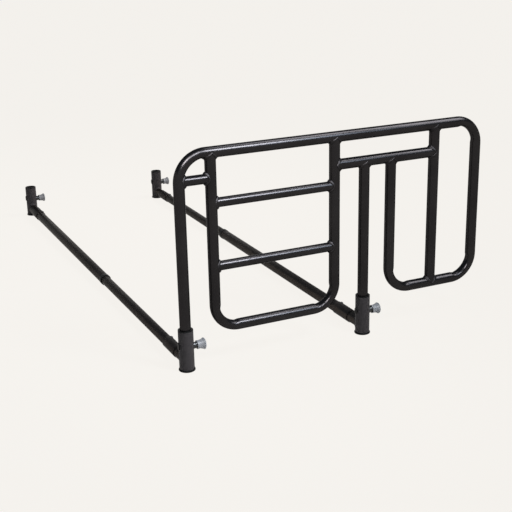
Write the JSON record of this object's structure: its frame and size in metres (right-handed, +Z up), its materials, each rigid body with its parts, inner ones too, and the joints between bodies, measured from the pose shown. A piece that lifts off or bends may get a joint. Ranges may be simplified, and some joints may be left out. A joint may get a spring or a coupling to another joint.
{
  "type": "bed assist rail",
  "caption": "Black tube bed rail with a runged centre loop and a guard loop, standing in sockets on telescoping crossbars that run under the mattress, with grey pull plungers.",
  "frame": {"origin": "on the floor, under the centre of the bounding box of the assembled rail", "axes": "+X along the bed towards the guard loop, +Y across the bed from the rail to the far sockets, +Z up"},
  "size_m": [0.8034, 1.4824, 0.5057],
  "materials": {
    "black_powder_coat": "gloss powder coat",
    "black_plastic": "satin moulded",
    "grey_plastic": "satin moulded",
    "plated_steel": "zinc plated"
  },
  "bodies": {
    "left_base": {"near_left_socket": "black_powder_coat", "near_left_stub": "black_powder_coat", "near_left_sleeve": "black_powder_coat", "near_left_foot_cap": "black_plastic", "near_left_liner": "black_plastic", "near_left_plunger_barrel": "black_plastic", "near_left_plunger_spring": "plated_steel", "near_left_button_spring": "plated_steel", "left_inner_tube": "black_powder_coat"},
    "rail": {"hand_rail_tube": "black_powder_coat", "centre_loop": "black_powder_coat", "upper_rung": "black_powder_coat", "lower_rung": "black_powder_coat", "corner_strut": "black_powder_coat", "leg_bar": "black_powder_coat", "right_leg": "black_powder_coat", "guard_upright": "black_powder_coat"},
    "right_base": {"near_right_socket": "black_powder_coat", "near_right_stub": "black_powder_coat", "near_right_sleeve": "black_powder_coat", "near_right_foot_cap": "black_plastic", "near_right_liner": "black_plastic", "near_right_plunger_barrel": "black_plastic", "near_right_plunger_spring": "plated_steel", "near_right_button_spring": "plated_steel", "right_outer_tube": "black_powder_coat", "right_mouth_ring": "black_plastic"},
    "left_far_end": {"far_left_socket": "black_powder_coat", "far_left_stub": "black_powder_coat", "far_left_sleeve": "black_powder_coat", "far_left_foot_cap": "black_plastic", "far_left_liner": "black_plastic", "far_left_plunger_barrel": "black_plastic", "far_left_plunger_spring": "plated_steel", "far_left_button_spring": "plated_steel", "left_outer_tube": "black_powder_coat", "left_mouth_ring": "black_plastic"},
    "right_far_end": {"far_right_socket": "black_powder_coat", "far_right_stub": "black_powder_coat", "far_right_sleeve": "black_powder_coat", "far_right_foot_cap": "black_plastic", "far_right_liner": "black_plastic", "far_right_plunger_barrel": "black_plastic", "far_right_plunger_spring": "plated_steel", "far_right_button_spring": "plated_steel", "right_inner_tube": "black_powder_coat"},
    "near_left_plunger": {"near_left_plunger_pin": "plated_steel", "near_left_plunger_knob": "grey_plastic"},
    "near_left_button": {"near_left_snap_button": "black_powder_coat"},
    "near_right_plunger": {"near_right_plunger_pin": "plated_steel", "near_right_plunger_knob": "grey_plastic"},
    "near_right_button": {"near_right_snap_button": "black_powder_coat"},
    "far_left_plunger": {"far_left_plunger_pin": "plated_steel", "far_left_plunger_knob": "grey_plastic"},
    "far_left_button": {"far_left_snap_button": "black_powder_coat"},
    "far_right_plunger": {"far_right_plunger_pin": "plated_steel", "far_right_plunger_knob": "grey_plastic"},
    "far_right_button": {"far_right_snap_button": "black_powder_coat"}
  },
  "joints": [
    {"name": "rail_lift", "type": "slide", "parent": "left_base", "child": "rail", "axis": [0, 0, 1], "range_m": [0, 0.09]},
    {"name": "right_socket_slide", "type": "slide", "parent": "rail", "child": "right_base", "axis": [0, 0, 1], "range_m": [-0.09, 0]},
    {"name": "left_telescope", "type": "slide", "parent": "left_base", "child": "left_far_end", "axis": [0, 1, 0], "range_m": [-0.46, 0.13]},
    {"name": "right_telescope", "type": "slide", "parent": "right_base", "child": "right_far_end", "axis": [0, 1, 0], "range_m": [-0.46, 0.13]},
    {"name": "near_left_plunger_pull", "type": "slide", "parent": "left_base", "child": "near_left_plunger", "axis": [1, 0, 0], "range_m": [-0.0048, 0.0032], "stiffness_N_per_m": 800, "springref_m": -0.0048, "deforming": ["near_left_plunger_spring"]},
    {"name": "near_left_button_press", "type": "slide", "parent": "left_base", "child": "near_left_button", "axis": [-0.5736, 0, -0.8192], "range_m": [0, 0.004], "stiffness_N_per_m": 600, "deforming": ["near_left_button_spring"]},
    {"name": "near_right_plunger_pull", "type": "slide", "parent": "right_base", "child": "near_right_plunger", "axis": [1, 0, 0], "range_m": [-0.0048, 0.0032], "stiffness_N_per_m": 800, "springref_m": -0.0048, "deforming": ["near_right_plunger_spring"]},
    {"name": "near_right_button_press", "type": "slide", "parent": "right_base", "child": "near_right_button", "axis": [-0.5736, 0, -0.8192], "range_m": [0, 0.004], "stiffness_N_per_m": 600, "deforming": ["near_right_button_spring"]},
    {"name": "far_left_plunger_pull", "type": "slide", "parent": "left_far_end", "child": "far_left_plunger", "axis": [1, 0, 0], "range_m": [-0.0048, 0.0032], "stiffness_N_per_m": 800, "springref_m": -0.0048, "deforming": ["far_left_plunger_spring"]},
    {"name": "far_left_button_press", "type": "slide", "parent": "left_far_end", "child": "far_left_button", "axis": [-0.5736, 0, -0.8192], "range_m": [0, 0.004], "stiffness_N_per_m": 600, "deforming": ["far_left_button_spring"]},
    {"name": "far_right_plunger_pull", "type": "slide", "parent": "right_far_end", "child": "far_right_plunger", "axis": [1, 0, 0], "range_m": [-0.0048, 0.0032], "stiffness_N_per_m": 800, "springref_m": -0.0048, "deforming": ["far_right_plunger_spring"]},
    {"name": "far_right_button_press", "type": "slide", "parent": "right_far_end", "child": "far_right_button", "axis": [-0.5736, 0, -0.8192], "range_m": [0, 0.004], "stiffness_N_per_m": 600, "deforming": ["far_right_button_spring"]}
  ],
  "couplings": [
    {"joint": "right_socket_slide", "follows": "rail_lift", "ratio": -1}
  ]
}
